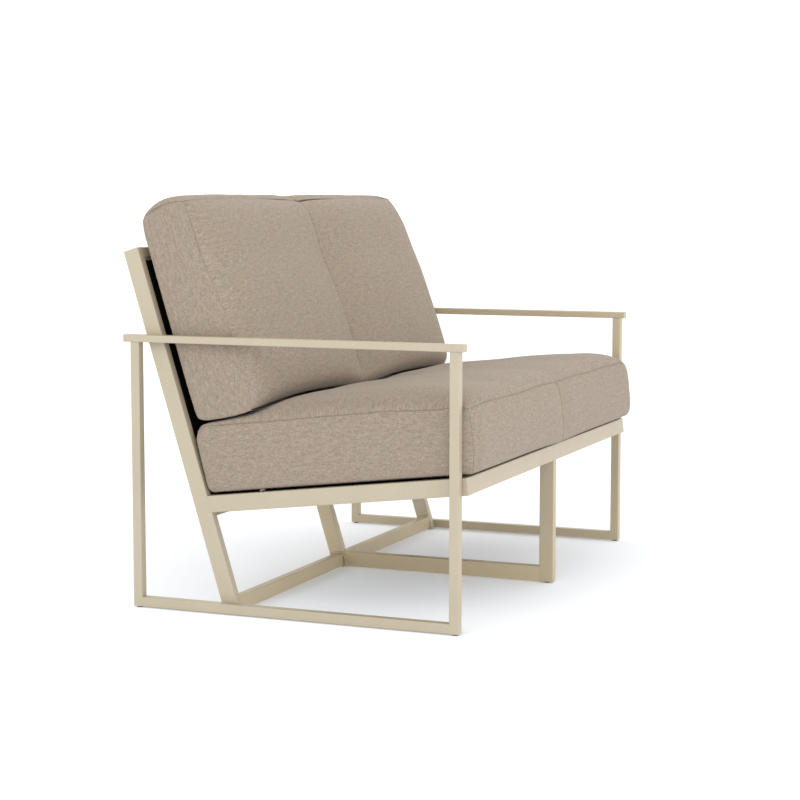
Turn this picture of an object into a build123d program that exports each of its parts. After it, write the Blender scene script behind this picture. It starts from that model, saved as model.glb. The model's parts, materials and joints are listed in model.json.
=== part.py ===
from build123d import *
import math
import os

# Two-seat patio loveseat: two flat arm frames of square tube beside a seat and back frame
# of rectangular tube, black woven slings, one bench cushion and one back cushion.
# Millimetres, +Z up, the seat faces -Y. X runs along the width.
# The geometry is laid out with X = 0 at the left arm frame's outer face and Y = 0 at the
# front legs' front face, and moved at the end so that the origin is on the floor, under
# the middle of the whole object.

# ---------------------------------------------------------------- driving dimensions
WIDTH = 1150.0          # over the legs of the two arm frames
DEPTH = 722.7           # front face of the front leg to rear face of the rear leg
SQ = 20.0               # square tube of the arm frames
WALL = 1.5              # tube wall
R_TUBE = 2.0            # outside corner radius of the tubes
GAP_FLOOR = 3.0         # tubes stand this high above the floor on their glides
ARM_Z0, ARM_Z1 = 554.9, 569.9       # arm bar, underside and top
ARM_OUT = 2.5           # arm bar overhang outside the legs
ARM_Y0, ARM_Y1 = -8.9, 737.6        # arm bar ends
CAP = 1.5               # thickness of the closing plates

LEAN = 0.306            # back posts: rearward travel per unit of height
POST_Y0 = 485.07        # front face of the posts, extended down to the floor
POST_D = 34.3           # post depth, square to its length
POST_TOP = 783.0        # post length along the lean, from the floor line
TOP_RAIL_H = 21.5       # back top rail, along the lean
REAR_RAIL_S0, REAR_RAIL_H = 207.6, 35.0

SEAT_SLOPE = 0.121      # seat frame: drop per unit of depth towards the back
SEAT_Y0, SEAT_Z0 = -8.5, 309.4      # front top edge of the seat frame
SEAT_H = 34.75          # seat rails' height, square to the slope

CROSS_Y0, CROSS_Y1 = 494.5, 514.5   # floor crossbar
CROSS_H = 30.0
MID_FLOOR_H = 34.0      # middle floor rail height
MID_LEG_Y0, MID_LEG_Y1 = -12.0, 20.5

BEAD_R, ROD_R = 2.3, 1.4
TRACK_R = 2.4           # bore of the bead channels
TRACK_H = 7.0           # bead channels' depth

CUSHION_X0, CUSHION_X1 = 22.0, 1128.0
BACK_X0, BACK_X1 = 27.0, 1123.0
SKIN = 1.2              # cushion cover cloth with its lining

Y_ORIGIN = 357.97       # moves the middle of the object's depth to Y = 0

# ---------------------------------------------------------------- helpers
X1 = WIDTH
XM = WIDTH / 2.0
ca = 1.0 / math.sqrt(1.0 + SEAT_SLOPE ** 2)
sa = SEAT_SLOPE * ca
cl = 1.0 / math.sqrt(1.0 + LEAN ** 2)
sl = LEAN * cl


def seat(p, h):
    """Point (y, z) at p behind the seat frame's front edge and h above its top plane."""
    return (SEAT_Y0 + p * ca + h * sa, SEAT_Z0 - p * sa + h * ca)


def back(s, t):
    """Point (y, z) at s up the posts' front face and t in front of it."""
    return (POST_Y0 + s * sl - t * cl, s * cl + t * sl)


def p_at(h, t):
    """Where the plane t in front of the posts crosses the height h of the seat frame."""
    y0, z0 = seat(0.0, h)
    y1, z1 = seat(1000.0, h)

    def tt(y, z):
        return -(y - POST_Y0) * cl + z * sl

    a, b = tt(y0, z0), tt(y1, z1)
    return 1000.0 * (t - a) / (b - a)


def v(x, yz):
    return Vector(x, yz[0], yz[1])


def bar(a, b, x_dir, w, d, wall=WALL, r=R_TUBE, over=0.0):
    """Rectangular tube from a to b: w is measured along x_dir, d across it."""
    a, b = Vector(*a), Vector(*b)
    u = (b - a).normalized()
    a, b = a - u * over, b + u * over
    pl = Plane(origin=a, x_dir=Vector(*x_dir), z_dir=u)
    length = (b - a).length
    outer = extrude(pl * RectangleRounded(w, d, r), amount=length)
    if wall is None:
        return outer
    inner = extrude(pl * RectangleRounded(w - 2 * wall, d - 2 * wall, max(r - wall, 0.6)), amount=length)
    return outer - inner


def cut(body, point, normal):
    """Keeps what lies behind the plane through point, on the side away from normal."""
    n = Vector(*normal)
    return split(body, bisect_by=Plane(origin=Vector(*point), z_dir=n), keep=Keep.BOTTOM)


def prism(pts, x0, x1):
    """Closed outline of (y, z) points, extruded from x0 to x1."""
    wire = Polyline(*[Vector(x0, y, z) for y, z in pts], close=True)
    return extrude(make_face(wire), amount=x1 - x0, dir=(1, 0, 0))


def rod_x(r, x0, x1, yz):
    return extrude(Plane(origin=(x0, yz[0], yz[1]), x_dir=(0, 1, 0), z_dir=(1, 0, 0)) * Circle(r), amount=x1 - x0)


def rod_z(r, z0, z1, x, y):
    return extrude(Plane(origin=(x, y, z0), z_dir=(0, 0, 1)) * Circle(r), amount=z1 - z0)


NODES = {}


def node(name, *solids):
    NODES[name] = list(solids)


def mirror_x(body):
    """The same piece on the other side of the loveseat."""
    return mirror(body, about=Plane(origin=(XM, 0, 0), z_dir=(1, 0, 0)))


# ---------------------------------------------------------------- bolts and inserts (positions)
# The arm frames are bolted to the seat frame from inside at three places a side.
BOLT_R, HEAD_R, HEAD_T = 2.5, 4.4, 2.8
INSERT_R = 3.5
BOLTS = [
    (14.2, 288.0),      # seat rail to front leg
    (519.4, 13.0),      # back post to floor rail
    (675.0, 562.4),     # back post to arm bar
]


def drilled(body, r, x0, x1, spots):
    for yz in spots:
        body = body - rod_x(r, x0, x1, yz)
    return body


# ---------------------------------------------------------------- arm frames
Z0 = GAP_FLOOR
leg_f = bar((10, 10, Z0), (10, 10, ARM_Z0), (1, 0, 0), SQ, SQ)
leg_f = drilled(leg_f, INSERT_R, 15, 25, [BOLTS[0]])
leg_r = bar((10, DEPTH - 10, Z0), (10, DEPTH - 10, ARM_Z0), (1, 0, 0), SQ, SQ)
rail = bar((10, SQ, Z0 + 10), (10, DEPTH - SQ, Z0 + 10), (1, 0, 0), SQ, SQ)
rail = drilled(rail, INSERT_R, 15, 25, [BOLTS[1]])
ARM_W = SQ + ARM_OUT
arm_xc = (SQ - ARM_OUT) / 2.0
arm = bar((arm_xc, ARM_Y0 + CAP, (ARM_Z0 + ARM_Z1) / 2), (arm_xc, ARM_Y1 - CAP, (ARM_Z0 + ARM_Z1) / 2),
          (1, 0, 0), ARM_W, ARM_Z1 - ARM_Z0)
arm = drilled(arm, INSERT_R, 15, 25, [BOLTS[2]])


def arm_cap(y_out, y_in):
    """Closing plate flush with the bar, with a plug inside it."""
    s = 1.0 if y_in > y_out else -1.0
    zc = (ARM_Z0 + ARM_Z1) / 2
    plate = bar((arm_xc, y_out, zc), (arm_xc, y_out + s * CAP, zc), (1, 0, 0), ARM_W, ARM_Z1 - ARM_Z0, wall=None)
    plate = fillet(plate.faces().sort_by(Axis.Y)[0 if s > 0 else -1].edges(), 0.7)
    plug = bar((arm_xc, y_out + s * CAP, zc), (arm_xc, y_out + s * 12.0, zc), (1, 0, 0),
               ARM_W - 2 * WALL - 0.1, ARM_Z1 - ARM_Z0 - 2 * WALL - 0.1, wall=None, r=0.5)
    return plate + plug


for side, fn in (("left", lambda b: b), ("right", mirror_x)):
    node(side + "_front_leg", fn(leg_f))
    node(side + "_rear_leg", fn(leg_r))
    node(side + "_floor_rail", fn(rail))
    node(side + "_arm_bar", fn(arm))
caps = [arm_cap(ARM_Y0, 100), arm_cap(ARM_Y1, 100)]
node("arm_end_caps", *(caps + [mirror_x(c) for c in caps]))

# ---------------------------------------------------------------- back posts
lean_dir = (0, sl, cl)
across = (0, -cl, sl)
up_posts = (0, sl, cl)


def post(xc, top):
    a = back(-20.0, -POST_D / 2)
    b = back(top, -POST_D / 2)
    body = bar((xc, *a), (xc, *b), (1, 0, 0), SQ, POST_D)
    return cut(body, (xc, 0, Z0), (0, 0, -1))


POST_CUT = POST_TOP - CAP
post_l = post(SQ + 10, POST_CUT)
post_l = drilled(post_l, BOLT_R, 15, 45, [BOLTS[1], BOLTS[2]])
MID_POST_TOP = POST_TOP - TOP_RAIL_H
node("left_back_post", post_l)
node("right_back_post", mirror_x(post_l))
node("middle_back_post", post(XM, MID_POST_TOP))


def post_cap(xc):
    a, b, c = back(POST_CUT, -POST_D / 2), back(POST_TOP, -POST_D / 2), back(POST_CUT - 12.0, -POST_D / 2)
    plate = bar((xc, *a), (xc, *b), (1, 0, 0), SQ, POST_D, wall=None)
    plate = fillet(plate.faces().sort_by(Axis(origin=(0, 0, 0), direction=lean_dir))[-1].edges(), 0.7)
    plug = bar((xc, *c), (xc, *a), (1, 0, 0), SQ - 2 * WALL - 0.1, POST_D - 2 * WALL - 0.1, wall=None, r=0.5)
    return plate + plug


node("post_end_caps", post_cap(SQ + 10), post_cap(X1 - SQ - 10))

IN0, IN1 = 2 * SQ, X1 - 2 * SQ          # clear width between the outer posts
ML, MR = XM - 10, XM + 10               # faces of the middle post

tr_a = back(POST_TOP - TOP_RAIL_H / 2, -POST_D / 2)
node("back_top_rail", bar((IN0, *tr_a), (IN1, *tr_a), across, POST_D, TOP_RAIL_H))

# rear seat rail: two runs between the posts would be one bar each side of the middle post
rr_c = back(REAR_RAIL_S0 + REAR_RAIL_H / 2, -10.0)
node("left_rear_rail", bar((IN0, *rr_c), (ML, *rr_c), across, SQ, REAR_RAIL_H))
node("right_rear_rail", bar((MR, *rr_c), (IN1, *rr_c), across, SQ, REAR_RAIL_H))

# ---------------------------------------------------------------- seat frame
seat_dir = (0, ca, -sa)
SR_CAP = 2.0


def seat_bar(xc, p0, p1, over=0.0):
    a, b = seat(p0, -SEAT_H / 2), seat(p1, -SEAT_H / 2)
    return bar((xc, *a), (xc, *b), (1, 0, 0), SQ, SEAT_H, over=over)


def ends_on_posts(body):
    """Rear end cut parallel to the posts, on their front face."""
    return cut(body, v(0, back(300, 0)), (0, cl, -sl))


side_rail = ends_on_posts(seat_bar(SQ + 10, SR_CAP, 640.0))
side_rail = drilled(side_rail, BOLT_R, 15, 45, [BOLTS[0]])
node("left_seat_rail", side_rail)
node("right_seat_rail", mirror_x(side_rail))

pc = seat(0.0, -SEAT_H / 2)
pd = seat(SR_CAP, -SEAT_H / 2)
pe = seat(SR_CAP + 6.0, -SEAT_H / 2)
cap_plate = bar((SQ + 10, *pc), (SQ + 10, *pd), (1, 0, 0), SQ, SEAT_H, wall=None)
cap_plug = bar((SQ + 10, *pd), (SQ + 10, *pe), (1, 0, 0), SQ - 2 * WALL - 0.1, SEAT_H - 2 * WALL - 0.1, wall=None, r=0.5)
rail_cap = cap_plate + cap_plug
node("seat_rail_end_caps", rail_cap, mirror_x(rail_cap))

fr = seat(SQ / 2, -SEAT_H / 2)
node("seat_front_rail", bar((IN0, *fr), (IN1, *fr), seat_dir, SQ, SEAT_H))
node("middle_seat_bearer", ends_on_posts(seat_bar(XM, SQ, 640.0)))

# middle front leg: its top is cut to the seat frame's slope
ml_yc = (MID_LEG_Y0 + MID_LEG_Y1) / 2
ml_d = MID_LEG_Y1 - MID_LEG_Y0
mid_leg = bar((XM, ml_yc, Z0), (XM, ml_yc, 320), (1, 0, 0), SQ, ml_d)
mid_leg = cut(mid_leg, v(XM, seat(0, -SEAT_H)), (0, sa, ca))
node("middle_front_leg", mid_leg)

# middle floor rail: its rear end is cut parallel to the post
mfz = Z0 + MID_FLOOR_H / 2
mid_rail = bar((XM, MID_LEG_Y1, mfz), (XM, 560, mfz), (1, 0, 0), SQ, MID_FLOOR_H)
node("middle_floor_rail", ends_on_posts(mid_rail))

cz = Z0 + CROSS_H / 2
cy = (CROSS_Y0 + CROSS_Y1) / 2
node("left_floor_crossbar", bar((IN0, cy, cz), (ML, cy, cz), (0, 1, 0), CROSS_Y1 - CROSS_Y0, CROSS_H))
node("right_floor_crossbar", bar((MR, cy, cz), (IN1, cy, cz), (0, 1, 0), CROSS_Y1 - CROSS_Y0, CROSS_H))

# ---------------------------------------------------------------- glides and foot plugs
GLIDE_R = 6.0


def leg_glide(x, y, w, d):
    """Plug in the tube's open end, with a round foot under it."""
    plug = extrude(Plane(origin=(x, y, Z0), z_dir=(0, 0, 1)) * RectangleRounded(w - 2 * WALL - 0.1, d - 2 * WALL - 0.1, 0.5),
                   amount=12.0)
    foot = rod_z(GLIDE_R, 0.0, Z0, x, y)
    foot = fillet(foot.faces().sort_by(Axis.Z)[0].edges(), 0.8)
    return plug + foot


lg = [leg_glide(10, 10, SQ, SQ), leg_glide(10, DEPTH - 10, SQ, SQ)]
node("leg_glides", *(lg + [mirror_x(g) for g in lg]))
node("middle_leg_glide", leg_glide(XM, ml_yc, SQ, ml_d))


def post_foot(xc):
    """Plug that closes the post's slanted lower end, with a round foot under it."""
    c0, c1 = back(-10.0, -POST_D / 2), back(16.0, -POST_D / 2)
    plug = bar((xc, *c0), (xc, *c1), (1, 0, 0), SQ - 2 * WALL - 0.1, POST_D - 2 * WALL - 0.1, wall=None, r=0.5)
    plug = cut(plug, (xc, 0, Z0), (0, 0, -1))
    yc = back(Z0 / cl, 0)[0] + POST_D / cl / 2
    foot = rod_z(GLIDE_R, 0.0, Z0, xc, yc)
    foot = fillet(foot.faces().sort_by(Axis.Z)[0].edges(), 0.8)
    return plug + foot


feet = [post_foot(SQ + 10), post_foot(XM), post_foot(X1 - SQ - 10)]
for xc_i, f in zip((SQ + 10, XM, X1 - SQ - 10), range(3)):
    if xc_i != XM:
        # room for the bolt that passes through the post just above the plug
        feet[f] = feet[f] - rod_x(BOLT_R, xc_i - 15, xc_i + 15, BOLTS[1])
node("post_foot_plugs", *feet)

# ---------------------------------------------------------------- bolts and inserts
bolts, inserts = [], []
for yz in BOLTS:
    shank = rod_x(BOLT_R, 7.0, 2 * SQ, yz)
    head = rod_x(HEAD_R, 2 * SQ, 2 * SQ + HEAD_T, yz)
    head = fillet(head.faces().sort_by(Axis.X)[-1].edges(), 1.2)
    hexa = extrude(Plane(origin=(2 * SQ + HEAD_T, yz[0], yz[1]), x_dir=(0, 1, 0), z_dir=(-1, 0, 0)) * RegularPolygon(1.7, 6),
                   amount=1.8)
    b = (shank + head) - hexa
    ins = rod_x(INSERT_R, 8.0, SQ, yz) - rod_x(BOLT_R, 8.0, SQ, yz)
    bolts += [b, mirror_x(b)]
    inserts += [ins, mirror_x(ins)]
node("frame_bolts", *bolts)
node("frame_inserts", *inserts)

# ---------------------------------------------------------------- slings
# Each bay has its own slings. Their hems hold a rod and slide into round channels.
BAYS = [("left", IN0 + 1.0, ML - 1.0), ("right", MR + 1.0, IN1 - 1.0)]
rods, back_tracks, seat_tracks = [], [], []


def in_back(s, t):
    return back(s, t)


def quad(fn, a0, a1, b0, b1):
    return [fn(a0, b0), fn(a1, b0), fn(a1, b1), fn(a0, b1)]


SHEET0, SHEET1 = -1.7, -0.5             # the cloth lies just behind the frame's front face
SHEET_C = (SHEET0 + SHEET1) / 2
BT_TOP = POST_TOP - TOP_RAIL_H          # the upper channel hangs under the top rail
BB_BOT = REAR_RAIL_S0 + REAR_RAIL_H     # the lower channel stands on the rear rail
SLOT = 1.6
TC = -4.2                               # the channels' depth behind the frame face
for side, xa, xb in BAYS:
    # back sling
    up, lo = BT_TOP - TRACK_H / 2, BB_BOT + TRACK_H / 2
    for c, s_in in ((up, -1), (lo, 1)):
        body = prism(quad(in_back, c - TRACK_H / 2, c + TRACK_H / 2, TC - 4.0, TC + 4.0), xa - 1.0, xb + 1.0)
        body = body - rod_x(TRACK_R, xa - 1.0, xb + 1.0, back(c, SHEET_C - 2.3))
        body = body - prism(quad(in_back, min(c, c + s_in * 5), max(c, c + s_in * 5), SHEET_C - SLOT / 2, SHEET_C + SLOT / 2),
                            xa - 1.0, xb + 1.0)
        back_tracks.append(body)
        rods.append(rod_x(ROD_R, xa, xb, back(c, SHEET_C - 2.3)))
    sheet = prism(quad(in_back, lo, up, SHEET0, SHEET1), xa, xb)
    for c in (up, lo):
        sheet = sheet + rod_x(BEAD_R, xa, xb, back(c, SHEET_C - 2.3))
    for c in (up, lo):
        sheet = sheet - rod_x(ROD_R, xa, xb, back(c, SHEET_C - 2.3))
    node("back_sling_" + side, sheet)

    # seat sling
    f_c = SQ + TRACK_H / 2
    r_p = min(p_at(0.0, 0.0), p_at(-8.2, 0.0)) - 0.2
    r_c = r_p - TRACK_H / 2
    for c, s_in in ((f_c, 1), (r_c, -1)):
        body = prism(quad(seat, c - TRACK_H / 2, c + TRACK_H / 2, TC - 4.0, TC + 4.0), xa - 1.0, xb + 1.0)
        body = body - rod_x(TRACK_R, xa - 1.0, xb + 1.0, seat(c, SHEET_C - 2.3))
        body = body - prism(quad(seat, min(c, c + s_in * 5), max(c, c + s_in * 5), SHEET_C - SLOT / 2, SHEET_C + SLOT / 2),
                            xa - 1.0, xb + 1.0)
        seat_tracks.append(body)
        rods.append(rod_x(ROD_R, xa, xb, seat(c, SHEET_C - 2.3)))
    sheet = prism(quad(seat, f_c, r_c, SHEET0, SHEET1), xa, xb)
    for c in (f_c, r_c):
        sheet = sheet + rod_x(BEAD_R, xa, xb, seat(c, SHEET_C - 2.3))
    for c in (f_c, r_c):
        sheet = sheet - rod_x(ROD_R, xa, xb, seat(c, SHEET_C - 2.3))
    node("seat_sling_" + side, sheet)
node("back_sling_tracks", *back_tracks)
node("seat_sling_tracks", *seat_tracks)
node("sling_bead_rods", *rods)

# ---------------------------------------------------------------- seat cushion
ZIP_W, ZIP_D = 12.0, 4.5                # groove that holds the zip, in the underside
ZIP_P = 450.0                           # the zip crosses the underside here
SEAT_SIDE_H = 139.0                     # height of the side boxing at its seam
SEAT_CREST = 181.0                      # crown of the top panel


def closed_face(parts):
    return make_face(Wire(parts))


def seat_profile(d):
    """Side outline of the seat cushion, inset by d."""
    lo = 1.0 + d
    hi = SEAT_SIDE_H - d
    front = -24.0 + d
    rb, rt = p_at(8.0, 6.0) - d, p_at(SEAT_SIDE_H - 14.0, 6.0) - d
    pts = {
        "a": seat(front + 12, lo), "b": seat(rb - 12, lo), "b2": seat(rb, lo + 9),
        "c": seat(rt, hi - 14), "c2": seat(rt - 13, hi), "e": seat(front + 10, hi),
        "e2": seat(front, hi - 12), "f": seat(front, lo + 12),
    }
    P = {k: v(0, q) for k, q in pts.items()}
    k1 = v(0, seat(rb - 3.2, lo + 2.6))
    k2 = v(0, seat(rt - 3.4, hi - 3.8))
    k3 = v(0, seat(front + 2.9, hi - 3.6))
    k4 = v(0, seat(front + 3.5, lo + 3.5))
    # crowned top: full over most of its depth, pressed flat where the back cushion stands on it
    over = [(560.0, 150.5), (500.0, 162.6), (440.0, 172.6), (380.0, 178.5), (240.0, SEAT_CREST), (100.0, 180.0),
            (45.0, 174.5), (12.0, 163.0)]
    top = Spline([P["c2"]] + [v(0, seat(p, h - d)) for p, h in over] + [P["e"]])
    return closed_face([
        Line(P["a"], P["b"]), ThreePointArc(P["b"], k1, P["b2"]), Line(P["b2"], P["c"]),
        ThreePointArc(P["c"], k2, P["c2"]), top,
        ThreePointArc(P["e"], k3, P["e2"]), Line(P["e2"], P["f"]), ThreePointArc(P["f"], k4, P["a"]),
    ])


def seat_section(d):
    """Front outline of the seat cushion, square to the slope, inset by d."""
    x0, x1 = CUSHION_X0 + d, CUSHION_X1 - d
    lo, hi = 1.0 + d, SEAT_SIDE_H + 3.0 - d

    def q(x, h):
        return v(x, seat(-60.0, h))

    over = [(20.0, 157.0), (45.0, 171.0), (90.0, 179.0), (180.0, 183.5), (330.0, SEAT_CREST + 4.0)]
    top = Spline([q(x1 - 8, hi)] + [q(x1 - a, h - d) for a, h in over] + [q(XM, SEAT_CREST + 4.5 - d)]
                 + [q(x0 + a, h - d) for a, h in reversed(over)] + [q(x0 + 8, hi)])
    return closed_face([
        Line(q(x0 + 10, lo), q(x1 - 10, lo)), ThreePointArc(q(x1 - 10, lo), q(x1 - 2.9, lo + 2.9), q(x1, lo + 10)),
        Line(q(x1, lo + 10), q(x1, hi - 8)), ThreePointArc(q(x1, hi - 8), q(x1 - 2.4, hi - 2.2), q(x1 - 8, hi)),
        top,
        ThreePointArc(q(x0 + 8, hi), q(x0 + 2.4, hi - 2.2), q(x0, hi - 8)),
        Line(q(x0, hi - 8), q(x0, lo + 10)), ThreePointArc(q(x0, lo + 10), q(x0 + 2.9, lo + 2.9), q(x0 + 10, lo)),
    ])


def seat_block(d):
    a = extrude(seat_profile(d), amount=WIDTH, dir=(1, 0, 0))
    b = extrude(seat_section(d), amount=760.0, dir=seat_dir)
    body = a & b
    g = ZIP_W / 2 + d
    groove = prism(quad(seat, ZIP_P - g, ZIP_P + g, -5.0, 1.0 + ZIP_D + d), 0.0, X1)
    return body - groove


seat_inner = seat_block(SKIN)
seat_cover = seat_block(0.0) - seat_inner
node("seat_cushion_cover", seat_cover)
node("seat_cushion_core", seat_inner)

CH_T = 1.4                              # thickness of the zip's teeth and tape
node("seat_cushion_zip", prism(quad(seat, ZIP_P - 5.0, ZIP_P + 5.0, 1.0 + ZIP_D - CH_T, 1.0 + ZIP_D), CUSHION_X0 + 12, CUSHION_X1 - 12))


def slider(fn, c, lo, x0):
    """Zip slider with its pull folded flat behind it: lo is the face nearest the opening."""
    body = prism(quad(fn, c - 3.6, c + 3.6, lo, lo + 2.3), x0, x0 + 9.0)
    tab = prism(quad(fn, c - 2.4, c + 2.4, lo + 0.4, lo + 1.6), x0 - 9.0, x0)
    return body + tab


node("seat_zip_slider", slider(seat, ZIP_P, 1.0 + ZIP_D - CH_T - 0.4 - 2.3, CUSHION_X0 + 14))

# ---------------------------------------------------------------- back cushion
BACK_ZIP_T = 96.0
BACK_S0 = 399.5                         # underside of the back cushion, along the lean


def back_profile(d):
    """Side outline of the back cushion, inset by d."""
    def q(s, t):
        return v(0, back(s, t))

    b = BACK_S0 + d
    # crowned front: fullest low down, where the sitter's back presses least
    over = [(432.0, 181.0), (470.0, 188.5), (520.0, 190.5), (600.0, 187.0), (700.0, 175.5), (770.0, 166.5), (805.0, 158.5)]
    front = Spline([q(b + 10, 161 - d)] + [q(s, t - d) for s, t in over] + [q(834, 144 - d)])
    return closed_face([
        Line(q(b + 4, 18), q(b, 146)),
        ThreePointArc(q(b, 146), q(b + 3.4, 155 - d), q(b + 10, 161 - d)),
        front,
        ThreePointArc(q(834, 144 - d), q(845 - d * 0.7, 134 - d * 0.7), q(850 - d, 120)),
        ThreePointArc(q(850 - d, 120), q(870 - d, 76), q(848 - d, 24)),
        ThreePointArc(q(848 - d, 24), q(840 - d * 0.7, 9 + d * 0.7), q(826, 2 + d)),
        Line(q(826, 2 + d), q(b + 18, 2 + d)),
        ThreePointArc(q(b + 18, 2 + d), q(b + 7, 7.5 + d * 0.5), q(b + 4, 18)),
    ])


def back_section(d):
    """Front outline of the back cushion, square to the posts, inset by d."""
    x0, x1 = BACK_X0 + d, BACK_X1 - d
    lo, hi = BACK_S0 - 0.5 + d, 848.0 - d

    def q(x, s):
        return v(x, back(s, -40.0))

    return closed_face([
        Line(q(x0 + 14, lo), q(x1 - 14, lo)), ThreePointArc(q(x1 - 14, lo), q(x1 - 4.1, lo + 4.1), q(x1, lo + 14)),
        Line(q(x1, lo + 14), q(x1, hi - 22)), ThreePointArc(q(x1, hi - 22), q(x1 - 7.5, hi - 6), q(x1 - 26, hi)),
        ThreePointArc(q(x1 - 26, hi), q(XM, 880.0 - d), q(x0 + 26, hi)),
        ThreePointArc(q(x0 + 26, hi), q(x0 + 7.5, hi - 6), q(x0, hi - 22)),
        Line(q(x0, hi - 22), q(x0, lo + 14)), ThreePointArc(q(x0, lo + 14), q(x0 + 4.1, lo + 4.1), q(x0 + 14, lo)),
    ])


def back_plan(d):
    """Outline of the back cushion seen along the posts, inset by d: its front crown falls away at the sides."""
    x0, x1 = BACK_X0 + d, BACK_X1 - d

    def q(x, t):
        return v(x, back(330.0, t))

    over = [(16.0, 172.0), (40.0, 185.0), (90.0, 193.0), (200.0, 197.0)]
    front = Spline([q(x1 - 2, 153 - d)] + [q(x1 - a, t - d) for a, t in over] + [q(XM, 198.0 - d)]
                   + [q(x0 + a, t - d) for a, t in reversed(over)] + [q(x0 + 2, 153 - d)])
    return closed_face([
        Line(q(x0 + 16, 1 + d), q(x1 - 16, 1 + d)), ThreePointArc(q(x1 - 16, 1 + d), q(x1 - 5, 6 + d), q(x1, 18)),
        Line(q(x1, 18), q(x1, 146)), ThreePointArc(q(x1, 146), q(x1 - 0.5, 150 - d * 0.5), q(x1 - 2, 153 - d)), front,
        ThreePointArc(q(x0 + 2, 153 - d), q(x0 + 0.5, 150 - d * 0.5), q(x0, 146)), Line(q(x0, 146), q(x0, 18)),
        ThreePointArc(q(x0, 18), q(x0 + 5, 6 + d), q(x0 + 16, 1 + d)),
    ])


def back_block(d):
    a = extrude(back_profile(d), amount=WIDTH, dir=(1, 0, 0))
    b = extrude(back_section(d), amount=300.0, dir=across)
    c = extrude(back_plan(d), amount=600.0, dir=up_posts)
    body = a & b & c
    g = ZIP_W / 2 + d
    groove = prism(quad(back, 380.0, BACK_S0 + 2.0 + ZIP_D + d, BACK_ZIP_T - g, BACK_ZIP_T + g), 0.0, X1)
    return body - groove


back_inner = back_block(SKIN)
back_cover = back_block(0.0) - back_inner
node("back_cushion_cover", back_cover)
node("back_cushion_core", back_inner)


def back_ts(t, s):
    return back(s, t)


zt = BACK_S0 + 2.0 + ZIP_D
node("back_cushion_zip", prism(quad(back_ts, BACK_ZIP_T - 5.0, BACK_ZIP_T + 5.0, zt - CH_T, zt), BACK_X0 + 14, BACK_X1 - 14))
node("back_zip_slider", slider(back_ts, BACK_ZIP_T, zt - CH_T - 0.4 - 2.3, BACK_X0 + 16))

# ---------------------------------------------------------------- write the pieces
os.makedirs("parts", exist_ok=True)
SHIFT = Location((-XM, -Y_ORIGIN, 0))
lo, hi = [1e9] * 3, [-1e9] * 3
for name, pieces in NODES.items():
    moved = []
    for piece in pieces:
        for s in piece.solids():
            moved.append(s.moved(SHIFT))
    for s in moved:
        bb = s.bounding_box()
        lo = [min(a, b) for a, b in zip(lo, (bb.min.X, bb.min.Y, bb.min.Z))]
        hi = [max(a, b) for a, b in zip(hi, (bb.max.X, bb.max.Y, bb.max.Z))]
    whole = moved[0] if len(moved) == 1 else Compound(children=moved)
    export_step(whole, f"parts/{name}.step")
print("nodes", len(NODES))
print("box", [round(a, 2) for a in lo], [round(a, 2) for a in hi])
print("y middle", round((lo[1] + hi[1]) / 2, 3))
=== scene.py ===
import json
import math

import bpy
import numpy as np
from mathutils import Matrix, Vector

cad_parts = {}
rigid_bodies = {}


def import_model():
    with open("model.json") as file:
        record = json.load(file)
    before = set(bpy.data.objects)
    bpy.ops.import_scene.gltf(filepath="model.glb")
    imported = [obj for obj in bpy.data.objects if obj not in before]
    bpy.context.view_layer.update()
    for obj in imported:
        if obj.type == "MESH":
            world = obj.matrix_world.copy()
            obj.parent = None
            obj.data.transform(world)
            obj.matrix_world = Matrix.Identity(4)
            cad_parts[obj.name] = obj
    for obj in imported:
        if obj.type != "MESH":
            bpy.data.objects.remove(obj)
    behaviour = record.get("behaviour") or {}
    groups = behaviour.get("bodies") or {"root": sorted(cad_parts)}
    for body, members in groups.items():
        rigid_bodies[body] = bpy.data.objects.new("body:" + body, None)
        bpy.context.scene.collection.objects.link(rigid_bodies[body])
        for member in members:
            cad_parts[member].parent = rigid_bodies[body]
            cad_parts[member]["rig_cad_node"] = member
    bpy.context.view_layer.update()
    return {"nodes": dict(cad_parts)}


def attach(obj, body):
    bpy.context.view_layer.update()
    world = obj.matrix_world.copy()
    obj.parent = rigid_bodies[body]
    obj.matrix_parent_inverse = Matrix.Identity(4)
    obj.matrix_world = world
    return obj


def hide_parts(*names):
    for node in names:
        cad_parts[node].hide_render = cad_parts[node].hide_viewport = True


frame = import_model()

NODES = frame["nodes"]

# ------------------------------------------------------------------ layout frame
# Shapes are laid out in millimetres with X = 0 at the left arm frame's outer face and Y = 0 at
# the front legs' front face. place() turns them into metres in the model's own frame.
XM, WIDTH, Y_ORIGIN = 575.0, 1150.0, 357.97
CA, SA = 0.99276, 0.12013          # seat frame's slope
CL, SL = 0.95624, 0.29261          # back posts' lean


def place(a):
    a = np.asarray(a, float)
    return (a - [XM, Y_ORIGIN, 0.0]) / 1000.0


def seat_xyz(q):
    """(X, p, h): p behind the seat frame's front edge, h above its top plane."""
    X, p, h = q[..., 0], q[..., 1], q[..., 2]
    return np.stack([X, -8.5 + p * CA + h * SA, 309.4 - p * SA + h * CA], -1)


def back_xyz(q):
    """(X, s, t): s up the posts, t in front of their front face."""
    X, s, t = q[..., 0], q[..., 1], q[..., 2]
    return np.stack([X, 485.07 + s * SL - t * CL, s * CL + t * SL], -1)


def seat_of(P):
    y, z = P[..., 1] + 8.5, P[..., 2] - 309.4
    return np.stack([P[..., 0], y * CA - z * SA, y * SA + z * CA], -1)


def back_of(P):
    y, z = P[..., 1] - 485.07, P[..., 2]
    return np.stack([P[..., 0], y * SL + z * CL, -y * CL + z * SL], -1)


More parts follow.
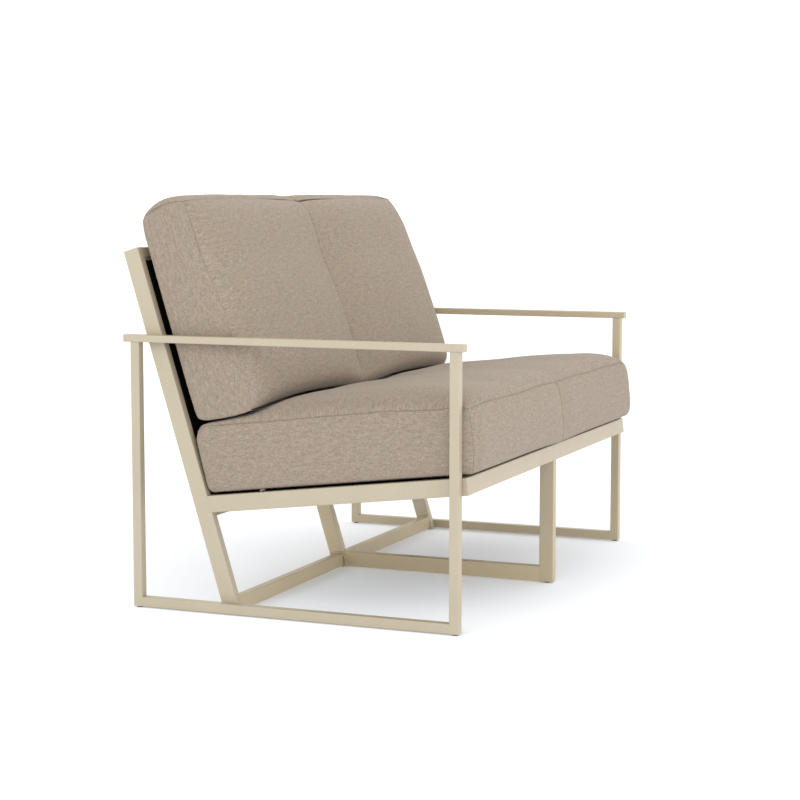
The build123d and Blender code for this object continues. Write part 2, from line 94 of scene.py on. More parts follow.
# ------------------------------------------------------------------ mesh helpers
def spline(pts, n=600):
    """Smooth line through pts, as a function of 0..1 of its length."""
    P = np.array(pts, float)
    d = np.sqrt(((P[1:] - P[:-1]) ** 2).sum(1))
    k = np.r_[0, np.cumsum(d)]
    m = np.zeros_like(P)
    fwd, bwd = (P[2:] - P[1:-1]) / d[1:, None], (P[1:-1] - P[:-2]) / d[:-1, None]
    m[1:-1] = (fwd * d[:-1, None] + bwd * d[1:, None]) / (d[1:] + d[:-1])[:, None]
    m[0], m[-1] = (P[1] - P[0]) / d[0], (P[-1] - P[-2]) / d[-1]
    t = np.linspace(0, k[-1], n)
    i = np.clip(np.searchsorted(k, t, side="right") - 1, 0, len(d) - 1)
    u, h = ((t - k[i]) / d[i])[:, None], d[i][:, None]
    Q = ((2 * u**3 - 3 * u**2 + 1) * P[i] + (u**3 - 2 * u**2 + u) * h * m[i]
         + (-2 * u**3 + 3 * u**2) * P[i + 1] + (u**3 - u**2) * h * m[i + 1])
    L = np.r_[0, np.cumsum(np.sqrt(((Q[1:] - Q[:-1]) ** 2).sum(1)))]
    total = L[-1]

    def at(a):
        return np.stack([np.interp(np.asarray(a, float) * total, L, Q[:, c]) for c in range(Q.shape[1])], -1)

    at.length = total
    return at


def flipped(curve):
    """The same line on the right side of the loveseat."""
    def at(a):
        q = curve(a).copy()
        q[..., 0] = WIDTH - q[..., 0]
        return q
    at.length = curve.length
    return at


def coons(c0, c1, d0, d1, U, V):
    """Patch between c0(u) at v 0, c1(u) at v 1, d0(v) at u 0 and d1(v) at u 1."""
    a, b = U[:, None, None], V[None, :, None]
    z, o = np.array([0.0]), np.array([1.0])
    p00, p10, p01, p11 = c0(z)[0], c0(o)[0], c1(z)[0], c1(o)[0]
    return ((1 - b) * c0(U)[:, None] + b * c1(U)[:, None] + (1 - a) * d0(V)[None] + a * d1(V)[None]
            - ((1 - a) * (1 - b) * p00 + a * (1 - b) * p10 + (1 - a) * b * p01 + a * b * p11))


NEAR_SEAM = [0, 0.9, 1.8, 2.8, 4.2, 6.2, 8.8, 12.2, 16.5, 21.5, 27.5]


def grid_lines(length, step, special=(), near=NEAR_SEAM):
    """Grid lines over a length in mm, close together at both ends and beside the special places."""
    near = [a for a in near if a < length * 0.42]
    fixed = set(near) | {length - a for a in near}
    for c, offsets in special:
        for o in offsets:
            fixed |= {c - o, c + o}
    fixed = sorted(a for a in fixed if 0 <= a <= length)
    out = [fixed[0]]
    for a in fixed[1:]:
        if a - out[-1] < 0.35:
            continue
        n = max(1, int(round((a - out[-1]) / step)))
        start = out[-1]
        out += [start + (a - start) * (i + 1) / n for i in range(n)]
    out[-1] = length
    return np.array(out) / length


def closed_box(U, B, C):
    """Vertex numbers of a closed box of grid lines, and its six patches as arrays of those numbers."""
    ids, n = {}, 0
    nu, nb, nc = len(U), len(B), len(C)

    def number(i, j, k):
        nonlocal n
        key = (i, j, k)
        if key not in ids:
            ids[key] = n
            n += 1
        return ids[key]

    def grid(f, a, b):
        return np.array([[number(*f(i, j)) for j in range(b)] for i in range(a)])

    P = {
        "front": grid(lambda i, k: (i, 0, k), nu, nc),
        "rear": grid(lambda i, k: (i, nb - 1, k), nu, nc),
        "top": grid(lambda i, j: (i, j, nc - 1), nu, nb),
        "bottom": grid(lambda i, j: (i, j, 0), nu, nb),
        "left": grid(lambda j, k: (0, j, k), nb, nc),
        "right": grid(lambda j, k: (nu - 1, j, k), nb, nc),
    }
    return n, P


TURNED = {"rear", "bottom", "left"}    # these patches' faces are wound the other way
# with the faces wound this way round, all normals point outwards


def quads_of(name, G, turn):
    a, b, c, d = G[:-1, :-1], G[1:, :-1], G[1:, 1:], G[:-1, 1:]
    Q = np.stack([a, b, c, d], -1).reshape(-1, 4)
    if (name in TURNED) != turn:
        Q = Q[:, ::-1]
    return Q


def make_mesh(name, verts, faces, uvs=None, smooth=True):
    me = bpy.data.meshes.new(name)
    me.from_pydata([tuple(v) for v in verts], [], [tuple(int(i) for i in f) for f in faces])
    if uvs is not None:
        layer = me.uv_layers.new(name="weave")
        layer.data.foreach_set("uv", np.asarray(uvs, np.float32).ravel())
    if smooth:
        me.polygons.foreach_set("use_smooth", [True] * len(me.polygons))
    me.validate()
    me.update()
    ob = bpy.data.objects.new(name, me)
    bpy.context.scene.collection.objects.link(ob)
    return ob


def vertex_normals(verts, quads):
    a, b, c, d = (verts[quads[:, i]] for i in range(4))
    n = np.cross(c - a, d - b)
    out = np.zeros_like(verts)
    for i in range(4):
        np.add.at(out, quads[:, i], n)
    return out / np.maximum(np.linalg.norm(out, axis=1), 1e-12)[:, None]


def cubic_matrix(xs, xt):
    """Matrix that takes values at xs to a smooth curve's values at xt."""
    n = len(xs)
    I = np.eye(n)
    d = np.diff(xs)
    sl = np.diff(I, axis=0) / d[:, None]
    m = np.zeros((n, n))
    m[1:-1] = (sl[1:] * d[:-1, None] + sl[:-1] * d[1:, None]) / (d[1:] + d[:-1])[:, None]
    m[0], m[-1] = sl[0], sl[-1]
    i = np.clip(np.searchsorted(xs, xt, side="right") - 1, 0, n - 2)
    u, h = ((xt - xs[i]) / d[i])[:, None], d[i][:, None]
    return ((2 * u**3 - 3 * u**2 + 1) * I[i] + (u**3 - 2 * u**2 + u) * h * m[i]
            + (-2 * u**3 + 3 * u**2) * I[i + 1] + (u**3 - u**2) * h * m[i + 1])


def rise(d, scale, power):
    """How much of its crown a panel has at d mm from its seam."""
    return 1.0 - np.exp(-np.maximum(d, 0.0) / scale) ** 1.0 if power == 1.0 else 1.0 - np.exp(-(np.maximum(d, 0.0) / scale) ** power)


def waves(seed, length, n=7):
    """Smooth uneven line made of a few sines, as a function of mm."""
    rng = np.random.default_rng(seed)
    f = rng.uniform(0.55, 1.7, n) / length
    ph = rng.uniform(0, 2 * math.pi, n)
    w = rng.uniform(0.5, 1.0, n)
    w /= np.sqrt((w**2).sum() / 2)

    def at(x):
        x = np.asarray(x, float)
        return sum(w[i] * np.sin(2 * math.pi * f[i] * x + ph[i]) for i in range(n))
    return at


def waves3(seed, length, n=16):
    """Smooth uneven field in space."""
    rng = np.random.default_rng(seed)
    k = rng.normal(size=(n, 3))
    k /= np.linalg.norm(k, axis=1)[:, None]
    k *= (rng.uniform(0.6, 1.6, n) / length * 2 * math.pi)[:, None]
    ph = rng.uniform(0, 2 * math.pi, n)

    def at(P):
        return np.sin(P @ k.T + ph).sum(1) / math.sqrt(n / 2)
    return at


# ------------------------------------------------------------------ cushions
# the seams at u 0, u 1, v 0 and v 1 of each panel
AROUND = {
    "front": ("LF", "RF", "FB", "FT"), "rear": ("LR", "RR", "RB", "RT"), "top": ("LT", "RTs", "FT", "RT"),
    "bottom": ("LB", "RBs", "FB", "RB"), "left": ("LF", "LR", "LB", "LT"), "right": ("RF", "RR", "RBs", "RTs"),
}


class Cushion:
    """A box cushion: six panels of cloth, sewn together along the twelve edges of the box.
    Every panel is a patch between its four seams, crowned away from them."""

    def __init__(self, edges, crown, to_xyz, size, seams, pull):
        self.edges, self.crown, self.to_xyz, self.size, self.seams, self.pull = edges, crown, to_xyz, size, seams, pull

    def panel(self, name, U, B, C, share=1.0):
        e = self.edges
        four = {
            "front": (e["FB"], e["FT"], e["LF"], e["RF"], U, C),
            "rear": (e["RB"], e["RT"], e["LR"], e["RR"], U, C),
            "top": (e["FT"], e["RT"], e["LT"], e["RTs"], U, B),
            "bottom": (e["FB"], e["RB"], e["LB"], e["RBs"], U, B),
            "left": (e["LB"], e["LT"], e["LF"], e["LR"], B, C),
            "right": (e["RBs"], e["RTs"], e["RF"], e["RR"], B, C),
        }[name]
        q = coons(*four)
        lu, lv = self.size_of(name)
        u, v = four[4][:, None] * lu + 0 * four[5][None], four[5][None] * lv + 0 * four[4][:, None]
        q = self.crown(name, q, u, v, lu, lv, share)
        return q, u, v, lu, lv

    def size_of(self, name):
        a, b, c = self.size
        return {"front": (a, c), "rear": (a, c), "top": (a, b), "bottom": (a, b), "left": (b, c), "right": (b, c)}[name]

    def build(self, U, B, C, share=1.0):
        n, P = closed_box(U, B, C)
        verts = np.zeros((n, 3))
        seam_d, seam_s, mid_d, seam_w = np.full(n, 1e3), np.zeros(n), np.full(n, 1e3), np.zeros(n)
        quads, uvs, local = [], [], np.zeros((n, 3))
        for name, G in P.items():
            q, u, v, lu, lv = self.panel(name, U, B, C, share)
            verts[G.ravel()] = self.to_xyz(q).reshape(-1, 3)
            local[G.ravel()] = q.reshape(-1, 3)
            ds = np.stack([u, lu - u, v, lv - v], -1)
            d = ds.min(-1)
            along = np.where(ds.argmin(-1) < 2, v, u)
            weight = np.array([self.pull[k] for k in AROUND[name]])[ds.argmin(-1)]
            flat = G.ravel()
            closer = d.ravel() < seam_d[flat]
            seam_s[flat[closer]] = along.ravel()[closer]
            seam_w[flat[closer]] = weight.ravel()[closer]
            seam_d[flat] = np.minimum(seam_d[flat], d.ravel())
            if name in self.seams:
                mid = np.abs(q[..., 0] - XM).ravel()
                mid_d[flat] = np.minimum(mid_d[flat], mid)
            uv = np.stack([u, v], -1) / 1000.0
            if name in self.turned:
                uv = uv[..., ::-1].copy()
            uv += {"front": (0, 0), "rear": (0, 1), "top": (0, 2), "bottom": (0, 3), "left": (2, 0), "right": (2, 1)}[name]
            Q = quads_of(name, G, self.turn)
            quads.append(Q)
            where = np.zeros((n, 2))
            where[flat] = uv.reshape(-1, 2)
            uvs.append(where[Q.ravel()])
        return dict(verts=verts, local=local, quads=np.concatenate(quads), uvs=np.concatenate(uvs), seam_d=seam_d,
                    seam_s=seam_s, mid_d=mid_d, seam_w=seam_w, patches=P)

    turn = False
    turned = ()


def puffed(cushion, name, lines, pin_mid, pressure=4.0, start=0.82, cap=2.2):
    """Blows the sewn shell up with cloth pressure from a slacker shape, its seams held, and gives how far each point
    of the coarse grid ends from the measured shape, at most cap mm."""
    U, B, C = lines
    full = cushion.build(U, B, C, 1.0)
    slack = cushion.build(U, B, C, start)
    ob = make_mesh(name + "_sim", place(slack["verts"]), slack["quads"])
    held = ob.vertex_groups.new(name="held")
    pinned = [int(i) for i in np.nonzero(((full["seam_d"] < 0.5) & (full["seam_w"] > 0.2)) | ((full["mid_d"] < 2.0) & pin_mid))[0]]
    held.add(pinned, 1.0, "REPLACE")
    cloth = ob.modifiers.new("Cloth", "CLOTH")
    s = cloth.settings
    s.quality = 5
    s.mass = 0.3
    s.tension_stiffness = s.compression_stiffness = 18
    s.shear_stiffness = 8
    s.bending_stiffness = 0.6
    s.air_damping = 4.0
    s.use_pressure = True
    s.uniform_pressure_force = pressure
    s.vertex_group_mass = "held"
    s.effector_weights.gravity = 0.0
    cloth.collision_settings.use_collision = False
    cloth.point_cache.frame_start, cloth.point_cache.frame_end = 1, 20
    sc = bpy.context.scene
    for f in range(1, 21):
        sc.frame_set(f)
    dg = bpy.context.evaluated_depsgraph_get()
    me = ob.evaluated_get(dg).to_mesh()
    co = np.zeros(len(me.vertices) * 3)
    me.vertices.foreach_get("co", co)
    co = co.reshape(-1, 3) * 1000.0 + [XM, Y_ORIGIN, 0.0]
    ob.evaluated_get(dg).to_mesh_clear()
    sc.frame_set(1)
    bpy.data.objects.remove(ob, do_unlink=True)
    off = co - full["verts"]
    size = np.linalg.norm(off, axis=1)
    print("puffed", name, "moves mm: median %.1f, most %.1f" % (np.median(size), size.max()))
    off *= cap / np.percentile(size, 92)
    size = np.linalg.norm(off, axis=1)
    off *= (np.minimum(size, cap) / np.maximum(size, 1e-9))[:, None]
    return off, full["patches"]


def spread_moves(off, patches, coarse, fine, n_fine, fine_patches):
    """The coarse grid's moves, carried smoothly to the fine grid."""
    axes = {"front": (0, 2), "rear": (0, 2), "top": (0, 1), "bottom": (0, 1), "left": (1, 2), "right": (1, 2)}
    out = np.zeros((n_fine, 3))
    for name, G in patches.items():
        a, b = axes[name]
        A, Bm = cubic_matrix(coarse[a], fine[a]), cubic_matrix(coarse[b], fine[b])
        grid = off[G]
        got = np.einsum("ij,jkc,lk->ilc", A, grid, Bm)
        out[fine_patches[name].ravel()] = got.reshape(-1, 3)
    return out


def ledge(x, at, half, soft=1.1):
    """1 inside a channel of half width around at, 0 outside it, with soft edges."""
    d = np.abs(x - at)
    return 1.0 / (1.0 + np.exp(np.minimum((d - half) / (soft * 0.45), 60.0)))


# ---- seat cushion: its seams, as (X, p, h)
LF = spline([(29, -8, 6.2), (26.6, -12.8, 14), (25, -16.9, 32), (24.4, -19.5, 66), (24.4, -19.9, 94), (25, -18.6, 120), (26, -16.6, 134.5)])
LR = spline([(29, 560.5, 5.6), (27, 565.5, 10), (25.5, 570.6, 20), (25, 573.0, 40), (24.8, 579.8, 90), (25.2, 582.2, 121), (27, 577.5, 135.5)])
LT = spline([(26, -16.6, 134.5), (25.4, -6, 136.8), (25, 33, 137.2), (25, 82, 138.2), (25, 130, 141), (25, 280, 142.2), (25, 436, 142),
             (25, 530, 143.0), (25.4, 562, 142.6), (27, 577.5, 135.5)])
LB = spline([(29, -8, 6.2), (27.2, 12, 6.4), (26.6, 60, 6.8), (26.6, 300, 6.8), (26.6, 500, 6.4), (27.2, 545, 6.0), (29, 560.5, 5.6)])
FT = spline([(26, -16.6, 134.5), (33, -18.6, 134.2), (60, -20.2, 135.6), (124, -20.8, 138.0), (205, -21.2, 137.2), (286, -21.3, 135.8),
             (370, -21.3, 137.0), (461, -21.2, 138.8), (530, -20.6, 137.6), (575, -20.0, 136.4), (622, -20.6, 137.8), (700, -21.2, 139.0), (800, -21.3, 137.6),
             (914, -21.3, 139.2), (1010, -21.0, 138.4), (1064, -20.6, 138.2), (1100, -19.6, 136.6), (1117, -18.6, 135.0), (1124, -16.6, 134.5)])
FB = spline([(29, -8, 6.2), (34, -11.0, 6.7), (46, -13.2, 6.9), (90, -14.2, 6.9), (250, -14.6, 7.0), (400, -14.6, 6.8), (490, -15.0, 5.8),
             (545, -15.6, 4.5), (575, -15.8, 4.1), (610, -15.6, 4.4), (700, -15.2, 5.8), (850, -15.2, 6.3), (1000, -15.2, 6.2),
             (1060, -15.0, 6.2), (1102, -14.0, 6.2), (1116, -11.4, 6.2), (1121, -8, 6.2)])
RT = spline([(27, 577.5, 135.5), (40, 580.5, 138), (90, 581.5, 139.5), (300, 581.5, 140), (575, 580.5, 139.5), (850, 581.5, 140),
             (1060, 581.5, 139.5), (1110, 580.5, 138), (1123, 577.5, 135.5)])
RB = spline([(29, 560.5, 5.6), (45, 563, 5.4), (100, 564, 5.2), (575, 564, 5.2), (1050, 564, 5.2), (1105, 563, 5.4), (1121, 560.5, 5.6)])
SEAT_EDGES = dict(LF=LF, LR=LR, LT=LT, LB=LB, FT=FT, FB=FB, RT=RT, RB=RB, RF=flipped(LF), RR=flipped(LR), RTs=flipped(LT), RBs=flipped(LB))
SEAT_SIZE = (1100.0, 597.0, 134.0)
ZIP_P, ZIP_T = 450.0, 96.0
UNDER_S = 398.2         # plane in which the two cushions press on each other, along the lean


def seat_crown(name, q, u, v, lu, lv, share):
    q = q.copy()
    if name == "top":
        dome = 35.4 * rise(u, 24, .85) * rise(lu - u, 24, .85) * rise(v, 24, .85) * rise(lv - v, 20, .9)
        dome *= 1.0 + 0.05 * (1 - ((u - lu / 2) / (lu / 2)) ** 2) - 0.02
        far = np.clip((q[..., 1] - 240.0) / 170.0, 0, 1)
        dome -= 10.5 * np.exp(-((q[..., 0] - 608.0) / 120.0) ** 2) * far * far * (3 - 2 * far)
        corner = np.exp(-((lu - u) / 60.0) ** 2 - (v / 70.0) ** 2) * rise(lu - u, 7, 1.0) * rise(v, 7, 1.0)
        dome += 1.2 * corner * np.clip((q[..., 0] - 900.0) / 150.0, 0, 1)
        dome -= 3.6 * np.exp(-((q[..., 1] - 230.0) / 80.0) ** 2) * np.clip((q[..., 0] - 700.0) / 130.0, 0, 1) * rise(lu - u, 24, .85)
        q[..., 2] += dome * share
        # pressed down where the back cushion stands on it
        b = back_of(seat_xyz(q))
        side = np.minimum(q[..., 0] - 25.0, WIDTH - 25.0 - q[..., 0])
        hang = 4.5 + 7.0 * np.clip((b[..., 2] - 40.0) / 100.0, 0, 1)
        limit = UNDER_S + np.maximum(0.0, 0.16 * (b[..., 2] - 165.0)) - hang * np.exp(-(np.maximum(side, 0) / 60.0) ** 2)
        over = b[..., 1] - limit
        soft = 3.2
        push = soft * np.logaddexp(0.0, over / soft)
        zone = 1.0 / (1.0 + np.exp((b[..., 2] - 215.0) / 14.0))
        edge = rise(u, 6, 1.2) * rise(lu - u, 6, 1.2) * rise(lv - v, 6, 1.2)
        q[..., 2] -= push * zone * edge * 1.02
    elif name == "front":
        body = rise(u, 13, 1.0) * rise(lu - u, 13, 1.0) * rise(v, 17, 1.0) * rise(lv - v, 15, 1.0)
        mid = 1.0 - 0.55 * np.exp(-(np.abs(u - lu / 2) / 34.0) ** 1.2)
        q[..., 1] -= 6.6 * body * mid * share
        # its far end is packed fuller, nearly square
        square = rise(lu - u, 7, 1.0) * rise(v, 3.5, 1.0) * rise(lv - v, 6, 1.0) * (1.0 - 0.45 * np.exp(-((v / lv - 0.5) / 0.28) ** 2))
        q[..., 1] -= (3.7 + 2.0 * v / lv) * np.clip((u / lu - 0.80) / 0.16, 0, 1) * square * share
    elif name == "rear":
        q[..., 1] += 2.0 * rise(u, 20, 1.0) * rise(lu - u, 20, 1.0) * rise(v, 16, 1.0) * rise(lv - v, 14, 1.0) * share
        # flat where it rests on the back's sling
        q[..., 1] -= 1.4 * np.logaddexp(0.0, (1.6 - back_of(seat_xyz(q))[..., 2]) / 1.4)
    elif name == "bottom":
        fall = rise(u, 27, 2.6) * rise(lu - u, 27, 2.6) * rise(v, 44, 3.0) * rise(lv - v, 16, 2.0)
        q[..., 2] = q[..., 2] * (1 - fall) + 0.7 * fall
        q[..., 2] += (5.8 - q[..., 2]) * ledge(q[..., 1], ZIP_P, 6.1) * rise(u, 3, 1.5) * rise(lu - u, 3, 1.5)
    else:
        out = 3.6 * rise(u, 15, 1.0) * rise(lu - u, 15, 1.0) * rise(v, 16, 1.0) * rise(lv - v, 14, 1.0) * share
        q[..., 0] += out * (1 if name == "right" else -1)
    return q


# ---- back cushion: its seams, as (X, s, t)
bLF = spline([(31, 396.8, 146), (29.3, 408, 150), (28, 440, 152.2), (27, 500, 153.0), (26.6, 548, 151.6), (26.4, 646, 145.0), (26.4, 713, 134.6),
              (26.6, 787, 130.6), (27.4, 828, 129), (29.5, 842, 126.5)])
bLR = spline([(31, 405.5, 29), (29, 411, 24.2), (28, 424, 22.3), (27.4, 450, 21.8), (27, 600, 21.2), (27, 760, 21.2), (27.6, 820, 22.2), (28.4, 833, 24.6), (30, 839.5, 29)])
bLT = spline([(30, 839.5, 29), (29, 844.5, 36), (28.2, 847, 47), (28, 848.2, 64), (28, 847.4, 84), (28.4, 845, 108), (28.8, 843.6, 119), (29.5, 842, 126.5)])
bLB = spline([(31, 405.5, 29), (29.6, 402.2, 37.5), (28.8, 399.4, 53), (28.4, 397.2, 74), (28.2, 394.8, 96), (28.4, 394.2, 120), (29.2, 394.8, 138), (31, 396.8, 146)])
bFT = spline([(29.5, 842, 126.5), (40, 844.0, 126.8), (70, 845.2, 127.4), (200, 846.2, 128), (330, 846.4, 128), (450, 845.4, 128.2), (530, 843, 129.4),
              (575, 840, 131), (620, 843, 129.4), (700, 845.4, 128.2), (820, 846.4, 128), (950, 846.2, 128), (1080, 845.2, 127.4), (1110, 844.0, 126.8),
              (1120.5, 842, 126.5)])
bFB = spline([(31, 396.8, 146), (42, 396.9, 151), (64, 398.4, 154.5), (90, 400.4, 156), (130, 402.6, 156.4), (180, 405.2, 156.6), (250, 407.6, 156.8),
              (333, 408.4, 156.8), (426, 406.2, 156.6), (480, 404.4, 156.4), (516, 401.6, 156.2), (545, 399.6, 156), (575, 398.8, 156), (634, 399.2, 156),
              (684, 400.8, 156.2), (753, 405, 156.6), (830, 406.8, 156.8), (920, 406.4, 156.8), (1010, 404.4, 156), (1060, 401.8, 154.6), (1088, 399.6, 152.4),
              (1108, 398.0, 150), (1119, 396.8, 146)])
bRT = spline([(30, 839.5, 29), (45, 842.5, 26), (90, 844.5, 24), (300, 846, 23.4), (520, 845, 23.4), (575, 842, 23.8), (630, 845, 23.4), (850, 846, 23.4), (1060, 844.5, 24),
              (1105, 842.5, 26), (1120, 839.5, 29)])
bRB = spline([(31, 405.5, 29), (45, 403.8, 26), (90, 402.6, 24), (575, 402.4, 23.6), (1060, 402.6, 24), (1105, 403.8, 26), (1119, 405.5, 29)])
BACK_EDGES = dict(LF=bLF, LR=bLR, LT=bLT, LB=bLB, FT=bFT, FB=bFB, RT=bRT, RB=bRB, RF=flipped(bLF), RR=flipped(bLR), RTs=flipped(bLT), RBs=flipped(bLB))
BACK_SIZE = (1094.0, 112.0, 440.0)


def back_crown(name, q, u, v, lu, lv, share):
    q = q.copy()
    x = np.abs(q[..., 0] - XM)
    if name == "front":
        up = rise(lv - v, 29, 1.2) * rise(v, 15, 1.0)
        dome = 35.0 * rise(u, 26, .78) * rise(lu - u, 26, .78) * up
        s = q[..., 1]
        full = np.interp(s, [420, 480, 530, 585, 640, 690, 725, 765, 815, 846], [0, -3.4, -4.4, -4.2, -1.0, 3.4, 4.9, 4.4, 2.4, 0])
        dome += full * np.clip((q[..., 0] - 880.0) / 140.0, 0, 1) * rise(lu - u, 20, .8) * up
        depth = np.interp(s, [399, 412, 430, 454, 512, 577, 643, 722, 785, 820, 838, 846], [0, 13, 25, 30, 25, 20, 18, 13, 12, 8, 2, 0])
        dip = depth * np.exp(-(x / 95.0) ** 1.25) + 3.0 * up * np.exp(-(x / 9.0) ** 1.2)
        dip += np.interp(s, [454, 512, 577, 643, 680, 722, 785, 830], [0, 3, 7, 11, 12, 10, 5, 0]) * np.exp(-(x / 125.0) ** 2)
        q[..., 2] += (dome - dip) * share
    elif name == "rear":
        lean = rise(u, 42, 1.25) * rise(lu - u, 42, 1.25) * rise(v, 24, 1.3) * rise(lv - v, 28, 1.3) * share
        q[..., 2] = q[..., 2] * (1 - lean) + 0.9 * lean
    elif name == "top":
        dome = 19.5 * rise(u, 30, .95) * rise(lu - u, 19, .95) * rise(v, 19, 1.2) * rise(lv - v, 20, 1.1) / 0.93
        dome -= 2.2 * np.exp(-(x / 32.0) ** 1.1) * rise(v, 40, 2.0) * rise(lv - v, 10, 1)
        q[..., 1] += dome * share
    elif name == "bottom":
        fall = rise(u, 14, 1.3) * rise(lu - u, 14, 1.3) * rise(v, 15, 1.4) * rise(lv - v, 12, 1.2)
        q[..., 1] = q[..., 1] * (1 - fall) + (UNDER_S + 0.7) * fall
        q[..., 1] += (406.6 - q[..., 1]) * ledge(q[..., 2], ZIP_T, 6.1) * rise(u, 3, 1.5) * rise(lu - u, 3, 1.5)
    else:
        out = 4.6 * rise(u, 18, 1.0) * rise(lu - u, 18, 1.0) * rise(v, 22, 1.0) * rise(lv - v, 22, 1.0) * share
        q[..., 0] += out * (1 if name == "right" else -1)
    return q


SEAT_PULL = dict(LF=1.05, RF=.8, FT=.9, FB=.7, LT=1.0, RTs=1.0, LB=.7, RBs=.7, LR=.8, RR=.8, RT=.9, RB=.7)
BACK_PULL = dict(LF=.85, RF=.85, FT=.10, FB=.6, LT=.5, RTs=.5, LB=.7, RBs=.7, LR=.8, RR=.8, RT=.8, RB=.7)
seat_shape = Cushion(SEAT_EDGES, seat_crown, seat_xyz, SEAT_SIZE, {"front"}, SEAT_PULL)
back_shape = Cushion(BACK_EDGES, back_crown, back_xyz, BACK_SIZE, {"front", "top"}, BACK_PULL)
back_shape.turned = ("left", "right")


def finished_cushion(name, shape, turn, seed, steps, zip_special, coarse_step, pin_mid, keep_in, fade):
    """The cushion's final mesh: measured shape, plus the cloth's own moves, sewn-in seams, small puckers beside them,
    and a point attribute that paints shade along the seams.
    """
    shape.turn = turn
    a, b, c = shape.size
    centre = [(a / 2, [0, 0.9, 1.8, 2.8, 4.2, 6.5, 10, 15, 22])]
    fine = (grid_lines(a, steps[0], centre), grid_lines(b, steps[1], zip_special), grid_lines(c, steps[2]))
    made = shape.build(*fine)
    verts = made["verts"]
    if name.startswith("back"):
        # the far top corner stands a little higher
        near = np.exp(-(((back_of(verts) - np.array([1110.0, 842.0, 112.0])) / np.array([42.0, 30.0, 45.0])) ** 2).sum(1))
        verts = verts + np.array([0.0, SL, CL]) * (4.8 * near)[:, None]
    else:
        near = np.exp(-(((seat_of(verts) - np.array([1117.0, -6.0, 128.0])) / np.array([26.0, 26.0, 24.0])) ** 2).sum(1))
        verts = verts + np.array([0.0, SA, CA]) * (5.0 * near)[:, None]
    rough = tuple(np.linspace(0, 1, max(5, int(round(L / coarse_step)) | 1)) for L in (a, b, c))
    off, patches = puffed(shape, name, rough, pin_mid)
    moves = spread_moves(off, patches, rough, fine, len(verts), made["patches"])
    moves *= keep_in(made)[:, None]
    verts = verts + moves
    n = vertex_normals(verts, made["quads"])
    d, s, m, w = made["seam_d"], made["seam_s"], made["mid_d"], made["seam_w"]
    push = np.zeros(len(verts))
    pucker = 0.17 if name.startswith("back") else 0.32
    # soft unevenness of filled cloth
    push += 0.55 * waves3(seed, 150.0)(verts) * (1 - np.exp(-d / 30.0)) * keep_in(made)
    # puckers beside the seams, longest at the corners
    for dist, where, amp in ((d, s, pucker), (m, verts[:, 2], pucker * 0.9)):
        ripple = waves(seed + 1, 19.0)(where) * 0.8 + waves(seed + 2, 8.0)(where) * 0.5
        push += amp * ripple * np.exp(-dist / 9.0) * (1 - np.exp(-dist / 1.2))
    # the sewn line itself
    w = w * fade(made)
    wm = fade(made)
    push -= 1.3 * w * np.exp(-(d / 1.15) ** 1.6)
    push -= 1.5 * wm * np.exp(-(m / 1.2) ** 1.6) * (1 - np.exp(-(d / 1.0)))
    # the cloth rolls up a little on each side of the sewn line
    push += 0.35 * w * np.exp(-((d - 5.0) / 2.6) ** 2) + 0.3 * wm * np.exp(-((m - 5.0) / 2.6) ** 2)
    verts = verts + n * push[:, None]
    ob = make_mesh(name, place(verts), made["quads"], made["uvs"])
    # painted shade: this attribute marks a thin band along each seam where the cloth colour is darkened, standing in
    # for the shade in the seam's crease
    sewn = ob.data.attributes.new("sewn", "FLOAT", "POINT")
    sewn.data.foreach_set("value", np.maximum(w * np.exp(-(d / 0.7) ** 2), wm * np.exp(-(m / 0.7) ** 2)).astype(np.float32))
    return ob, made


def seat_keep(made):
    """The cloth's own moves fade out where the cushion is pressed flat."""
    q = made["local"]
    low = np.clip((q[:, 2] - 6.0) / 12.0, 0, 1)
    b = back_of(made["verts"])
    pressed = (1 / (1 + np.exp((b[:, 2] - 172.0) / 6.0))) * np.clip((q[:, 2] - 135) / 8.0, 0, 1)
    return low * (1 - pressed) * np.clip((b[:, 2] - 3.0) / 12.0, 0, 1)


def seat_fade(made):
    return np.ones(len(made["verts"]))


def back_fade(made):
    """The front seams are pulled tight near the top and open out softly lower down."""
    s, t = made["local"][:, 1], made["local"][:, 2]
    k = np.clip((s - 610.0) / 170.0, 0, 1)
    k = 0.28 + 0.72 * k * k * (3 - 2 * k)
    return np.where(t > 112.0, k, 1.0)


def back_keep(made):
    q = made["local"]
    low = np.clip((q[:, 1] - 408.0) / 14.0, 0, 1)
    rear = np.clip((q[:, 2] - 8.0) / 12.0, 0, 1)
    return low * rear


ZIP_LINES = [0, 2.5, 4.6, 5.4, 6.1, 6.8, 7.7, 9.5, 12.5, 16]
seat_cushion, seat_made = finished_cushion(
    "seat_cushion", seat_shape, False, 11, (8.5, 8.5, 7.5), [((ZIP_P + 8.0) / 568.5 * 597.0, ZIP_LINES)], 17.0, True, seat_keep, seat_fade)
back_cushion, back_made = finished_cushion(
    "back_cushion", back_shape, False, 23, (8.5, 7.5, 8.5), [((146 - ZIP_T + 4.5) / 117.0 * 112.0, ZIP_LINES)], 17.0, True, back_keep, back_fade)


def outward(ob, centre):
    """True if the mesh's faces point away from centre."""
    me = ob.data
    n = len(me.polygons)
    c, k = np.zeros(n * 3), np.zeros(n * 3)
    me.polygons.foreach_get("center", c)
    me.polygons.foreach_get("normal", k)
    c, k = c.reshape(-1, 3), k.reshape(-1, 3)
    return ((c - centre) * k).sum(1).mean() > 0


for ob in (seat_cushion, back_cushion):
    lo = np.array([v.co for v in ob.data.vertices])
    if not outward(ob, lo.mean(0)):
        ob.data.flip_normals()


# ------------------------------------------------------------------ materials
def new_material(name):
    m = bpy.data.materials.new(name)
    m.use_nodes = True
    nt = m.node_tree
    bsdf = next(n for n in nt.nodes if n.type == "BSDF_PRINCIPLED")
    return m, nt, bsdf


